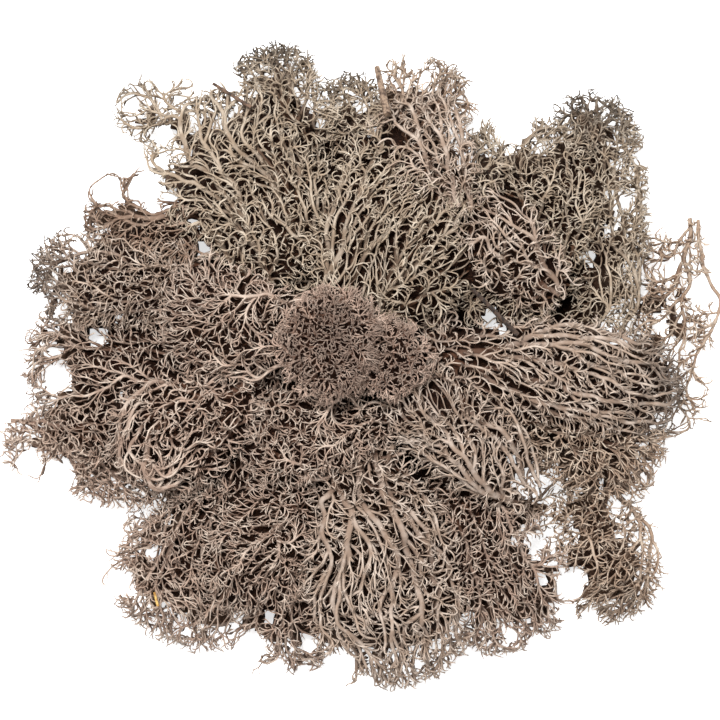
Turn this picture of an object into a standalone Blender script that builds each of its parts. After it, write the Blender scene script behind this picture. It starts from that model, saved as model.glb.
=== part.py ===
"""Heap of preserved reindeer lichen tufts, with a few bits of stick and straw caught in it.

Each tuft is one closed club-shaped solid that reaches the tips of its finest branches: narrow where the
plant was torn off, wide at the crown. Neighbours are parted by flat faces with a thin gap between them,
and every tuft that reaches the table is cut flat there.
Units are metres, +Z is up, +Y is the back of the heap.
"""
import math

import bmesh
import bpy
import numpy as np
from mathutils import Vector
from mathutils.bvhtree import BVHTree

MM = 0.001
GAP = 0.3 * MM                  # air left between neighbouring pieces
RING_SEGMENTS = 12              # points round each cross-section of a tuft
LOBE_DEPTH = 0.07               # how far the lobes of a crown stand out, as a share of its radius
CLEAN_EDGE = 0.05 * MM          # corners closer than this are joined
INNER_SHARE = 0.35              # a parting plane stays this many spreads away from a tuft's middle
STICK_SEGMENTS = 8

# How wide a tuft is along its length: (share of the length, share of the crown width).
CLUB_PROFILE = (
    (0.00, 0.40),
    (0.18, 0.66),
    (0.42, 0.90),
    (0.68, 1.00),
    (0.86, 0.90),
    (0.96, 0.60),
    (1.00, 0.26),
)

# Dried and dyed lichen: linear base colours of the shades found in the heap.
SHADES = {
    "olive": (0.285, 0.235, 0.175),
    "lilac": (0.270, 0.222, 0.198),
    "rose": (0.275, 0.205, 0.165),
    "tan": (0.265, 0.195, 0.145),
    "brown": (0.150, 0.100, 0.070),
    "bark": (0.075, 0.045, 0.028),
    "straw": (0.480, 0.330, 0.130),
}
LICHEN_ROUGHNESS = 0.85
STICK_ROUGHNESS = 0.65

# name, shade, torn end (x, y, z), crown end (x, y, z), crown width, crown thickness, lobes. All in mm.
TUFTS = (
    ("tuft_summit", "rose", (-6, 5, 25), (-7, 7, 59), 31, 30, 4),
    ("tuft_summit_small", "rose", (9, 2, 28), (10, 2, 54), 20, 20, 3),
    ("fan_back_right", "olive", (-4, 12, 36), (33, 68, 27), 54, 25, 5),
    ("fan_back_left", "olive", (-17, 26, 31), (-44, 78, 14), 54, 26, 5),
    ("knob_back_left", "olive", (-16, 54, 23), (-26, 92, 13), 28, 22, 4),
    ("knob_back", "olive", (1, 56, 20), (-3, 84, 15), 19, 18, 3),
    ("knob_back_right", "tan", (13, 58, 16), (25, 88, 10), 29, 19, 4),
    ("fan_back_grey", "lilac", (28, 44, 37), (17, 77, 23), 25, 12, 3),
    ("net_back_right", "olive", (42, 12, 22), (53, 71, 12), 48, 27, 5),
    ("stems_back_right", "lilac", (58, 20, 27), (30, 44, 34), 27, 12, 3),
    ("plume_far_right", "olive", (72, 8, 14), (66, 79, 10), 35, 23, 4),
    ("lace_right", "tan", (95, 43, 6), (89, -21, 7), 25, 14, 3),
    ("plume_right", "lilac", (20, 2, 38), (92, -8, 15), 33, 20, 4),
    ("net_right", "tan", (42, -14, 23), (88, -27, 8), 38, 23, 5),
    ("leg_front_right", "tan", (67, -28, 11), (76, -74, 6), 32, 16, 4),
    ("stems_centre_right", "lilac", (50, -37, 25), (14, -4, 40), 29, 18, 3),
    ("net_centre", "rose", (14, -18, 31), (-31, -22, 32), 30, 22, 4),
    ("fan_front", "lilac", (0, -24, 32), (14, -92, 9), 50, 25, 5),
    ("tuft_front_right", "rose", (31, -36, 22), (50, -81, 8), 39, 22, 4),
    ("lobe_front_left", "rose", (-36, -36, 21), (-57, -78, 8), 46, 22, 4),
    ("tuft_left_long", "rose", (-102, -22, 7), (-38, -28, 20), 33, 20, 4),
    ("net_left", "rose", (-29, -10, 35), (-68, -25, 24), 32, 21, 4),
    ("plume_back_left", "lilac", (-44, 23, 23), (-94, 26, 12), 29, 22, 4),
    ("lobe_back_left", "brown", (-31, 36, 22), (-78, 45, 10), 31, 21, 4),
    ("loop_left", "rose", (-52, 3, 18), (-96, -1, 7), 36, 15, 4),
    ("lace_front", "rose", (-11, -42, 19), (-25, -88, 7), 37, 19, 4),
    ("net_front_left", "rose", (-16, -31, 30), (-38, -68, 17), 31, 20, 4),
    ("tuft_left_centre", "rose", (-16, 10, 40), (-54, 15, 27), 33, 22, 4),
    ("spur_back_left", "olive", (-46, 62, 10), (-68, 80, 6), 18, 11, 3),
    ("bed_centre", "brown", (-24, -6, 11), (28, 8, 11), 58, 30, 5),
    ("bed_left", "brown", (-20, 5, 10), (-78, -2, 8), 62, 24, 5),
    ("bed_right", "brown", (20, 0, 10), (78, 0, 8), 58, 24, 5),
    ("bed_back", "brown", (8, 18, 10), (0, 70, 8), 66, 24, 5),
    ("bed_front", "brown", (4, -20, 10), (-4, -70, 8), 74, 24, 5),
)

# name, shade, one end (x, y, z), other end (x, y, z), diameter at each end. All in mm.
STICKS = (
    ("stick_back_left", "bark", (-41, 81, 28), (-30, 74, 31), 0.9, 1.1),
    ("stub_back", "brown", (6, 86, 22), (9, 72, 30), 1.6, 2.4),
    ("twig_right", "bark", (33, 22, 41), (46, 9, 36.5), 1.1, 1.5),
    ("straw_front_left", "straw", (-58, -65, 23), (-57, -69, 22), 0.7, 0.8),
)


def clear_scene():
    for old in list(bpy.data.objects):
        bpy.data.objects.remove(old, do_unlink=True)


def plain_material(name, colour, roughness):
    material = bpy.data.materials.new(name)
    material.use_nodes = True
    shader = material.node_tree.nodes["Principled BSDF"]
    shader.inputs["Base Color"].default_value = (*colour, 1.0)
    shader.inputs["Roughness"].default_value = roughness
    shader.inputs["Metallic"].default_value = 0.0
    return material


def cross_axes(direction):
    """Level axis across a spine, and the axis at right angles to both."""
    level = Vector((0.0, 0.0, 1.0)).cross(direction)
    if level.length < 0.2:
        level = Vector((1.0, 0.0, 0.0))
    level.normalize()
    return level, direction.cross(level).normalized()


def ring_points(centre, level, upright, half_width, half_height, lobes, lobe_depth, turn):
    points = []
    for step in range(RING_SEGMENTS):
        angle = 2.0 * math.pi * step / RING_SEGMENTS
        reach = 1.0 + lobe_depth * math.cos(lobes * angle + turn)
        across = level * (half_width * reach * math.cos(angle))
        up = upright * (half_height * reach * math.sin(angle))
        points.append(centre + across + up)
    return points


def wrapped(points):
    """Closed solid wrapped tightly round the points, with points closer than CLEAN_EDGE joined first."""
    mesh = bmesh.new()
    for point in points:
        mesh.verts.new(point)
    bmesh.ops.remove_doubles(mesh, verts=mesh.verts, dist=CLEAN_EDGE)
    result = bmesh.ops.convex_hull(mesh, input=mesh.verts)
    inside = {item for item in result["geom_interior"] + result["geom_unused"]
              if isinstance(item, bmesh.types.BMVert)}
    bmesh.ops.delete(mesh, geom=list(inside), context="VERTS")
    bmesh.ops.recalc_face_normals(mesh, faces=mesh.faces)
    return mesh


def cut_away(mesh, point, outward):
    """What is left of a solid after the part beyond a plane is cut off flat."""
    everything = list(mesh.verts) + list(mesh.edges) + list(mesh.faces)
    bmesh.ops.bisect_plane(
        mesh, geom=everything, dist=1e-7, plane_co=point, plane_no=outward, clear_outer=True)
    kept = wrapped([vertex.co.copy() for vertex in mesh.verts])
    mesh.free()
    return kept


def tuft_solid(torn_end, crown_end, width, thickness, lobes, turn):
    start = Vector(torn_end) * MM
    end = Vector(crown_end) * MM
    level, upright = cross_axes((end - start).normalized())
    points = []
    for along, share in CLUB_PROFILE:
        centre = start.lerp(end, along)
        half_width = 0.5 * width * MM * share
        half_height = 0.5 * thickness * MM * share
        depth = LOBE_DEPTH * along
        points += ring_points(centre, level, upright, half_width, half_height, lobes, depth, turn + along)
    return wrapped(points)


def stick_solid(one_end, other_end, first_diameter, last_diameter):
    start = Vector(one_end) * MM
    end = Vector(other_end) * MM
    level, upright = cross_axes((end - start).normalized())
    points = []
    for centre, diameter in ((start, first_diameter), (end, last_diameter)):
        radius = 0.5 * diameter * MM
        for step in range(STICK_SEGMENTS):
            angle = 2.0 * math.pi * step / STICK_SEGMENTS
            points.append(centre + level * (radius * math.cos(angle)) + upright * (radius * math.sin(angle)))
    return wrapped(points)


def corner_array(mesh):
    return np.array([vertex.co[:] for vertex in mesh.verts])


def any_corner_meets(tree, mesh):
    """Whether a corner of the mesh lies inside the tree's solid or within the gap of it."""
    for vertex in mesh.verts:
        spot, normal, _, distance = tree.find_nearest(vertex.co)
        if distance < GAP or (vertex.co - spot).dot(normal) < 0.0:
            return True
    return False


def meeting(first, second):
    first_tree = BVHTree.FromBMesh(first)
    second_tree = BVHTree.FromBMesh(second)
    if first_tree.overlap(second_tree):
        return True
    return any_corner_meets(first_tree, second) or any_corner_meets(second_tree, first)


def dividing_plane(first, second):
    """Point and unit normal (first to second) of the plane that parts two point clouds best."""
    a = corner_array(first)
    b = corner_array(second)
    spread = np.cov(a.T) + np.cov(b.T)
    normal = np.linalg.solve(spread, b.mean(axis=0) - a.mean(axis=0))
    normal /= np.linalg.norm(normal)
    reach_a = a @ normal
    reach_b = b @ normal
    middle = 0.5 * (reach_a.max() + reach_b.min())
    low = reach_a.mean() + INNER_SHARE * reach_a.std()
    high = reach_b.mean() - INNER_SHARE * reach_b.std()
    if low < high:
        middle = min(max(middle, low), high)
    else:
        middle = 0.5 * (low + high)
    point = 0.5 * (a.mean(axis=0) + b.mean(axis=0))
    point = point + normal * (middle - point @ normal)
    return Vector(point), Vector(normal)


def part_neighbours(solids):
    names = list(solids)
    for index, name in enumerate(names):
        for other in names[index + 1:]:
            first = solids[name]
            second = solids[other]
            if not meeting(first, second):
                continue
            point, normal = dividing_plane(first, second)
            solids[name] = cut_away(first, point - normal * (0.5 * GAP), normal)
            solids[other] = cut_away(second, point + normal * (0.5 * GAP), -normal)


def add_piece(name, mesh, material):
    data = bpy.data.meshes.new(name)
    mesh.to_mesh(data)
    mesh.free()
    data.materials.append(material)
    piece = bpy.data.objects.new(name, data)
    bpy.context.scene.collection.objects.link(piece)
    return piece


def centre_over_origin(solids):
    corners = np.vstack([corner_array(mesh) for mesh in solids.values()])
    middle = 0.5 * (corners.min(axis=0) + corners.max(axis=0))
    shift = Vector((-middle[0], -middle[1], 0.0))
    for mesh in solids.values():
        bmesh.ops.translate(mesh, verts=mesh.verts, vec=shift)


def build():
    clear_scene()
    solids = {}
    shades = {}
    for index, (name, shade, torn_end, crown_end, width, thickness, lobes) in enumerate(TUFTS):
        tuft = tuft_solid(torn_end, crown_end, width, thickness, lobes, turn=0.9 * index)
        solids[name] = cut_away(tuft, Vector((0.0, 0.0, 0.0)), Vector((0.0, 0.0, -1.0)))
        shades[name] = (shade, LICHEN_ROUGHNESS)
    part_neighbours(solids)
    for name, shade, one_end, other_end, first_diameter, last_diameter in STICKS:
        solids[name] = stick_solid(one_end, other_end, first_diameter, last_diameter)
        shades[name] = (shade, STICK_ROUGHNESS)
    centre_over_origin(solids)
    for name, mesh in solids.items():
        shade, roughness = shades[name]
        add_piece(name, mesh, plain_material(name + "_" + shade, SHADES[shade], roughness))


build()
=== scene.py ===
# %% [markdown]
# A loose heap of preserved reindeer lichen, seen from straight above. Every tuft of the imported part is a
# plain club-shaped solid; here each one is grown again as a real plant inside that solid: a few podetia
# (the hollow lichen stems) that fork into a fine tangled net with star-shaped tips.

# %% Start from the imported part
import math
import time
from collections import namedtuple

import bpy
import numpy as np
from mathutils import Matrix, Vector


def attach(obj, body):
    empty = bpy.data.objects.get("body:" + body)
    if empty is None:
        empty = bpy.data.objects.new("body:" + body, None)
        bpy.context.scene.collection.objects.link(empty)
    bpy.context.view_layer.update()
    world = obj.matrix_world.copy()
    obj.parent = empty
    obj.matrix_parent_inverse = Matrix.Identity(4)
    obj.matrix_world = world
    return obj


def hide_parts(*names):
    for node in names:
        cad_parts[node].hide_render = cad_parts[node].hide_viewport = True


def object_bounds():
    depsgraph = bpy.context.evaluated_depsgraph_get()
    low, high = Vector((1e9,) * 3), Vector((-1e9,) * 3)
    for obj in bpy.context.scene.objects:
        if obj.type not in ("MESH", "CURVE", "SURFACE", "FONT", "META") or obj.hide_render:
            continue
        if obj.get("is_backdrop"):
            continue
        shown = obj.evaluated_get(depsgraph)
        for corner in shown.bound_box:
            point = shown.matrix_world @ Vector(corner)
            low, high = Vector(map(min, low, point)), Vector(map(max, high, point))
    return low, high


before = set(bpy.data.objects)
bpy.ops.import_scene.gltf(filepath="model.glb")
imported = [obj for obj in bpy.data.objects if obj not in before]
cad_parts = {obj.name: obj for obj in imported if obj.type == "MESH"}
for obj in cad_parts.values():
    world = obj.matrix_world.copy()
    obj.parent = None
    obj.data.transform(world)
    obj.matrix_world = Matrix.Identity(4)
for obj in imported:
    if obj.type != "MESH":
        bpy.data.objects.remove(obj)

CAD_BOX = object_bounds()
START = time.time()
MM = 0.001
print("packed part:", len(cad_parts), "nodes")

# %% [markdown]
# Each tuft is described the way a florist would sort the heap: where the plant was torn off, where its
# crown is, how many podetia it has, how much of their length lies bare on top (-1 for a cushion that
# stands upright), how fine its net is, how curly, its dye shade and how dark its tips are. Lengths are in
# millimetres.

# %% The tufts of the heap
Tuft = namedtuple("Tuft", "torn_end crown_end podetia bare spacing curl shade dark_tips")
TUFTS = {
    "tuft_summit": ((-6, 5, 25), (-7, 7, 59), 9, -1.0, 0.72, 0.1, "rose", 0.5),
    "tuft_summit_small": ((9, 2, 28), (10, 2, 54), 6, -1.0, 0.74, 0.1, "rose", 0.4),
    "fan_back_right": ((-4, 12, 36), (33, 68, 27), 5, 0.5, 1.13, 0.26, "olive", 0.2),
    "fan_back_left": ((-17, 26, 31), (-44, 78, 14), 6, 0.25, 1.13, 0.34, "olive", 0.15),
    "knob_back_left": ((-16, 54, 23), (-26, 92, 13), 7, 0.0, 1.08, 0.3, "olive", 0.95),
    "knob_back": ((1, 56, 20), (-3, 84, 15), 6, 0.0, 1.08, 0.3, "olive", 0.85),
    "knob_back_right": ((13, 58, 16), (25, 88, 10), 6, 0.0, 1.24, 0.38, "tan", 0.5),
    "fan_back_grey": ((28, 44, 37), (17, 77, 23), 7, 0.35, 1.08, 0.19, "lilac", 0.2),
    "net_back_right": ((42, 12, 22), (53, 71, 12), 10, 0.0, 1.13, 0.38, "olive", 0.25),
    "stems_back_right": ((58, 20, 27), (30, 44, 34), 1, 0.65, 1.18, 0.3, "lilac", 0.1),
    "plume_far_right": ((72, 8, 14), (66, 79, 10), 11, 0.0, 1.09, 0.36, "olive", 0.9),
    "lace_right": ((95, 43, 6), (89, -21, 7), 5, 0.0, 1.29, 0.38, "tan", 0.5),
    "plume_right": ((20, 2, 38), (92, -8, 15), 7, 0.45, 1.13, 0.22, "lilac", 0.7),
    "net_right": ((42, -14, 23), (88, -27, 8), 9, 0.0, 1.13, 0.45, "tan", 0.15),
    "leg_front_right": ((67, -28, 11), (76, -74, 6), 8, 0.0, 1.13, 0.38, "tan", 0.45),
    "stems_centre_right": ((50, -37, 25), (14, -4, 40), 6, 0.4, 1.13, 0.3, "lilac", 0.2),
    "net_centre": ((14, -18, 31), (-31, -22, 32), 9, 0.0, 1.08, 0.45, "rose", 0.15),
    "fan_front": ((0, -24, 32), (14, -92, 9), 8, 0.2, 1.13, 0.42, "lilac", 0.15),
    "tuft_front_right": ((31, -36, 22), (50, -81, 8), 9, 0.0, 1.13, 0.3, "rose", 0.2),
    "lobe_front_left": ((-36, -36, 21), (-57, -78, 8), 8, 0.0, 1.18, 0.38, "rose", 0.2),
    "tuft_left_long": ((-102, -22, 7), (-38, -28, 20), 6, 0.0, 1.13, 0.38, "rose", 0.5),
    "net_left": ((-29, -10, 35), (-68, -25, 24), 6, 0.2, 1.18, 0.45, "rose", 0.15),
    "plume_back_left": ((-44, 23, 23), (-94, 26, 12), 9, 0.0, 1.08, 0.3, "lilac", 0.9),
    "lobe_back_left": ((-31, 36, 22), (-78, 45, 10), 4, 0.45, 1.18, 0.34, "brown", 0.3),
    "loop_left": ((-52, 3, 18), (-96, -1, 7), 5, 0.0, 1.29, 0.45, "rose", 0.3),
    "lace_front": ((-11, -42, 19), (-25, -88, 7), 6, 0.0, 1.24, 0.38, "rose", 0.3),
    "net_front_left": ((-16, -31, 30), (-38, -68, 17), 9, 0.0, 1.13, 0.45, "rose", 0.15),
    "tuft_left_centre": ((-16, 10, 40), (-54, 15, 27), 8, 0.0, 1.13, 0.38, "rose", 0.15),
    "spur_back_left": ((-46, 62, 10), (-68, 80, 6), 3, 0.0, 1.47, 0.38, "olive", 0.6),
}
TUFTS = {name: Tuft(*row) for name, row in TUFTS.items()}
lying = sum(tuft.bare > 0.0 for tuft in TUFTS.values())
print(len(TUFTS), "tufts;", lying, "of them lie with bare stems on top")

# %% [markdown]
# A real heap is not a closed lump. The table shows through between the tufts, bays cut into its outline,
# some tufts spill over their neighbours, and single sprigs stand out. These places are listed in
# millimetres; the beds are the old tufts underneath, given by their middles.

# %% Openings, bays, spills and loose sprigs
BEDS = {"bed_centre": (2, 1), "bed_left": (-49, 2), "bed_right": (49, 0), "bed_back": (4, 44),
        "bed_front": (0, -45)}
# middle and radius of the places where the heap is open right down to the table
OPENINGS = [
    (-87, -3, 3.5), (-56, 67, 3.5), (52, -51, 2.5), (45, -78, 2), (91, 29, 2.5), (93, -15, 2), (-54, 48, 2),
    (-58, 45, 2), (77, 48, 2), (-49, -77, 1.5), (83, 22, 1.5), (20, 83, 1.5), (-86, 16, 1.5),
    (-80, 34, 1.5), (-25, -72, 1.5), (75, -40, 1.5), (-47, 42, 1.5), (18, -86, 1.5), (-27, -87, 1.5),
    (-14, -80, 1.5), (-44, 34, 1.5), (-75, 8, 1.5), (-59, -53, 1.5), (-51, 62, 1.5), (38, 14, 1.5),
    (42, 11, 1.5), (54, -62, 1.5), (88, 11, 1.5), (83, -32, 1), (96, 6, 1), (-88, 5, 1), (67, 32, 1)]
# middle and radius of the bays that cut into its outline
BAYS = [
    (45, 70, 5.5), (-61, 52, 5), (-72, 51, 4.5), (-68, 58, 3.5), (-5, -87, 5), (-87, -32, 5), (-95, -28, 4),
    (-31, -82, 4.5), (62, -63, 4), (61, -71, 3), (-69, -63, 4), (-23, -88, 3), (100, 22, 4), (102, 1, 4),
    (34, 79, 3), (3, -92, 3), (17, 89, 3), (-65, 76, 2), (-92, 19, 2.5), (-15, -89, 2.5), (52, -80, 2.5),
    (83, 61, 2.5), (98, -6, 2.5), (-47, 70, 1.5), (93, 41, 3.5), (-36, 82, 2.5), (-56, 59, 2.5),
    (68, -73, 2.5), (-84, -28, 2)]
GAPS = np.array(OPENINGS + BAYS, dtype=float)
# places where a tuft spills over and covers the table beside its own solid: middle, radius, half height
SPILLS = {
    "fan_back_left": [(-16.5, 23.5, 23, 7.5, 6.5)],
    "fan_back_right": [(21, 19, 23, 8, 6), (31, 22, 20, 6, 5)],
    "net_left": [(-27, -4, 26, 8, 6), (-35, -29, 18, 8.5, 7)],
    "tuft_front_right": [(26, -35, 19, 7.5, 6.5)],
    "net_right": [(54, -41, 11, 6.5, 5)],
    "tuft_left_long": [(-93, -14, 6, 4.5, 4)],
    "lobe_front_left": [(-64, -47, 7, 4.5, 4)],
    "spur_back_left": [(-51, 79, 8, 5, 4)],
    "stems_centre_right": [(24, 12, 26, 6, 5)],
    "lace_right": [(86, 33, 7, 6, 5), (84, 20, 8, 6.5, 6), (85, 8, 8, 6.5, 6), (88, -4, 8, 6, 5)],
    "plume_far_right": [(80, 38, 8, 5, 5)],
}
# loose sprigs that stand out of the outline: foot and end
SPURS = np.array([
    ((-61, 73, 6), (-69, 79, 5)), ((-95, -21, 5), (-103, -23, 4)), ((-82, 32, 7), (-89, 37, 6)),
    ((92, 33, 6), (97, 39, 5)), ((95, -10, 6), (102, -15, 5)), ((81, -60, 5), (89, -64, 4)),
    ((53, -68, 5), (58, -75, 4)), ((43, -77, 5), (49, -83, 4)), ((8, -86, 6), (9, -93, 5)),
    ((-27, -83, 5), (-31, -89, 4)), ((98, 20, 5), (99, 28, 5))], dtype=float)
print(len(BEDS), "felted beds,", len(OPENINGS), "openings,", len(BAYS), "bays,", len(SPURS), "loose sprigs")

# %% [markdown]
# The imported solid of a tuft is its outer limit. It bulges everywhere, so it is held as the flat planes of
# its faces: how far a point lies outside them, and how high the solid reaches above a spot on the table,
# both follow from the planes.

# %% The room each tuft has
SAME_FACE = 2                   # decimals to which two faces agree when they are one plane
OFFSET_SHARE = 0.05             # weight of a face's place beside its direction in that comparison
NEARLY_LEVEL = 0.03             # a face whose normal rises less than this counts as upright


def face_planes(node):
    mesh = node.data
    count = len(mesh.polygons)
    normals = np.empty(3 * count)
    centres = np.empty(3 * count)
    mesh.polygons.foreach_get("normal", normals)
    mesh.polygons.foreach_get("center", centres)
    normals = normals.reshape(-1, 3)
    offsets = (normals * centres.reshape(-1, 3) / MM).sum(axis=1)
    faces = np.round(np.column_stack([normals, OFFSET_SHARE * offsets]), SAME_FACE)
    rows = np.unique(faces, axis=0, return_index=True)[1]
    return normals[rows], offsets[rows]


def outside_by(planes, points):
    """Millimetres outside the solid; negative inside."""
    normals, offsets = planes
    return (points @ normals.T - offsets).max(axis=1)


def height_span(planes, spots):
    """Lowest and highest point of the solid over each spot, and whether it is over the spot at all."""
    normals, offsets = planes
    room = offsets[None, :] - spots @ normals[:, :2].T
    rise = normals[:, 2]
    facing_up = rise > NEARLY_LEVEL
    facing_down = rise < -NEARLY_LEVEL
    upright = ~(facing_up | facing_down)
    top = (room[:, facing_up] / rise[facing_up]).min(axis=1)
    low = (room[:, facing_down] / rise[facing_down]).max(axis=1)
    over = (top > low) & (room[:, upright] > 0.0).all(axis=1)
    return low, top, over


ROOM = {name: face_planes(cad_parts[name]) for name in list(TUFTS) + list(BEDS)}
print(len(ROOM), "solids read as", sum(len(planes[1]) for planes in ROOM.values()), "planes")

# %% [markdown]
# Light decides how a lichen looks at any place: it is green or pale outside, dies off inside and lies in
# shade there. So two maps of the whole heap are made on a level grid, its height and the distance to its
# rim. From them follows how deeply any point is covered, from above or from the side, which sets both the
# brown of dead stems and the painted shade in the finishes.

# %% Maps of the heap
CELL = 1.5                      # mm
GRID_X = np.arange(-112.0, 112.0, CELL)
GRID_Y = np.arange(-104.0, 104.0, CELL)
RIM_WEIGHT = 1.7                # a millimetre of level way in from the rim covers as much as this from above


def heap_heights():
    """Height of the whole heap over a grid of spots on the table."""
    xs, ys = np.meshgrid(GRID_X, GRID_Y, indexing="ij")
    spots = np.column_stack([xs.ravel(), ys.ravel()])
    heights = np.zeros(len(spots))
    for planes in ROOM.values():
        _, top, over = height_span(planes, spots)
        heights = np.where(over, np.maximum(heights, top), heights)
    for x, y, z, radius, rise in [spill for spills in SPILLS.values() for spill in spills]:
        share = ((spots[:, 0] - x) ** 2 + (spots[:, 1] - y) ** 2) / radius ** 2
        top = z + rise * np.sqrt(np.clip(1.0 - share, 0.0, 1.0))
        heights = np.where(share < 1.0, np.maximum(heights, top), heights)
    return heights.reshape(xs.shape)


def distance_from_rim(heights):
    """Level distance from each spot to bare table, counted by eating the outline away cell by cell."""
    inside = heights > 0.0
    distance = np.zeros(heights.shape)
    while inside.any():
        distance += CELL * inside
        inside = (inside & np.roll(inside, 1, 0) & np.roll(inside, -1, 0)
                  & np.roll(inside, 1, 1) & np.roll(inside, -1, 1))
    return distance


HEAP_TOP = heap_heights()
RIM_DISTANCE = distance_from_rim(HEAP_TOP)


def over_grid(grid, points):
    """The value of a grid of the heap over each point."""
    column = np.clip(((points[:, 0] - GRID_X[0]) / CELL).round().astype(int), 0, len(GRID_X) - 1)
    row = np.clip(((points[:, 1] - GRID_Y[0]) / CELL).round().astype(int), 0, len(GRID_Y) - 1)
    return grid[column, row]


def cover_over(points):
    """How deep a point lies in the heap, from above or from the side, in mm."""
    from_above = over_grid(HEAP_TOP, points) - points[:, 2]
    from_side = RIM_WEIGHT * over_grid(RIM_DISTANCE, points)
    return np.maximum(np.minimum(from_above, from_side), 0.0)


print("heap is", round(float(HEAP_TOP.max()), 1), "mm high")
print("and", float(RIM_DISTANCE.max()), "mm from rim to middle")

# %% [markdown]
# Lichen branches never run straight: neighbours sway together over several millimetres. A smooth drift
# made of a few long waves gives every branch the sway of its surroundings, and the same kind of wave,
# used as a plain number, makes cushions and hollows in the net.

# %% Sway and cushions
def waves(seed, count, shortest, longest):
    """A few waves that run in all directions, with lengths in mm."""
    rng = np.random.default_rng(seed)
    direction = rng.normal(size=(count, 3))
    direction /= np.linalg.norm(direction, axis=1)[:, None]
    length = rng.uniform(shortest, longest, count)
    return direction * (2.0 * math.pi / length)[:, None], rng.uniform(0.0, 2.0 * math.pi, (3, count))


SWAY = waves(11, 9, 5.0, 14.0)          # sway of single branches
BEND = waves(17, 7, 22.0, 60.0)         # slow bend of a whole tuft
CUSHION = waves(23, 8, 9.0, 22.0)       # hollows in the net
FRAY = waves(37, 8, 4.0, 10.0)          # uneven edges
HOLES = waves(41, 8, 3.0, 7.0)          # holes in the felt
LOBES = waves(53, 8, 14.0, 30.0)        # lobes that reach into a neighbour
RUFFLE = waves(59, 6, 3.0, 6.0)         # ruffled felt
PATCHES = waves(61, 8, 16.0, 34.0)      # where bare stems show


def drift(points, wave):
    """A smooth direction at every point."""
    turns, starts = wave
    phase = points @ turns.T
    return np.stack([np.sin(phase + start).sum(axis=1) for start in starts], axis=1) / math.sqrt(len(turns))


def swell(points, wave):
    """A smooth number at every point, mostly between -1.5 and 1.5."""
    turns, starts = wave
    return np.sin(points @ turns.T + starts[0]).sum(axis=1) / math.sqrt(len(turns))


GAP_WAVE = 0.6                  # how far the edge of an opening swings in and out, mm


def in_gap(points, margin):
    """Whether a point is in one of the open places, widened by a margin, with a wavy edge."""
    offset = points[:, None, :2] - GAPS[None, :, :2]
    beside = np.sqrt((offset ** 2).sum(axis=2)) - GAPS[None, :, 2]
    return beside.min(axis=1) < margin + GAP_WAVE * swell(points, FRAY)


print("sway at the middle of the heap:", drift(np.zeros((1, 3)), SWAY).round(2)[0])

# %% [markdown]
# A plant fills its room by growing towards open space: every free spot pulls on a branch end near it, the
# branch takes a step that way while keeping most of its heading, and a spot that has been reached stops
# pulling. This gives the forking fans and the tangled net alike. First comes the search for the nearest
# end.

# %% Nearest ends
AT_ONCE = 2048                  # spots compared at a time, which keeps the table of distances small


def nearest(points, ends):
    """Index of the nearest end and the distance to it, for every point."""
    near = np.empty(len(points), dtype=np.int64)
    gap = np.empty(len(points))
    ends_sq = (ends * ends).sum(axis=1)
    for first in range(0, len(points), AT_ONCE):
        some = points[first:first + AT_ONCE]
        square = (some * some).sum(axis=1)[:, None] + ends_sq[None, :] - 2.0 * some @ ends.T
        best = square.argmin(axis=1)
        near[first:first + AT_ONCE] = best
        gap[first:first + AT_ONCE] = np.sqrt(np.maximum(square[np.arange(len(some)), best], 0.0))
    return near, gap


# %% [markdown]
# Reindeer lichen forks in two at every joint. The Y opens in the plane in which the free spots round the
# tip are most spread out. A vector that is turned through their spread a few times ends up in that
# direction.

# %% The plane of a fork
ANY_WAY = [0.31, 0.62, 0.72]    # a slanting direction that no branch runs along, to start the search
TURNS = 4


def unit(vectors):
    return vectors / np.maximum(np.linalg.norm(vectors, axis=1), 1e-9)[:, None]


def widest_spread(pull, who, aim, count):
    """For every joint, the direction square to its aim in which its open spots are most spread out."""
    aside = pull - (pull * aim[who]).sum(axis=1)[:, None] * aim[who]
    spread = np.empty((count, 3, 3))
    for i in range(3):
        for j in range(3):
            spread[:, i, j] = np.bincount(who, aside[:, i] * aside[:, j], count)
    across = np.cross(aim, ANY_WAY)
    for _ in range(TURNS):
        across = unit(np.einsum("nij,nj->ni", spread, across) + 1e-6 * across)
    return across


# %% [markdown]
# Now the growing itself. Tips are served first, and only by spots ahead of them, so that branches run on
# instead of curling back; an older joint puts out a side twig where no tip comes near. A tip that has run
# a few steps and is pulled by several spots forks. Joints that would grow into an opening of the heap are
# dropped.

# %% Growing towards open space
TIP_FIRST = 1.6                 # a tip serves an open spot this many times further off than an old joint
FORWARD = 0.5                   # and only spots ahead of it, within a cone of this cosine
SHORT_SWAY = 0.26               # how far a step follows the sway of single branches
LONG_SWAY = 0.5                 # and the slow bend of the whole tuft
SIDE_KEEP = 1.1                 # side twigs lean forward: they keep this much more of the heading
PULLS_TO_FORK = 2               # a tip pulled by more spots than this may fork
LOWEST = 0.35                   # height of the lowest joints over the table, mm
PATIENCE = 3                    # tries after which a spot that comes no nearer is given up


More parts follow.
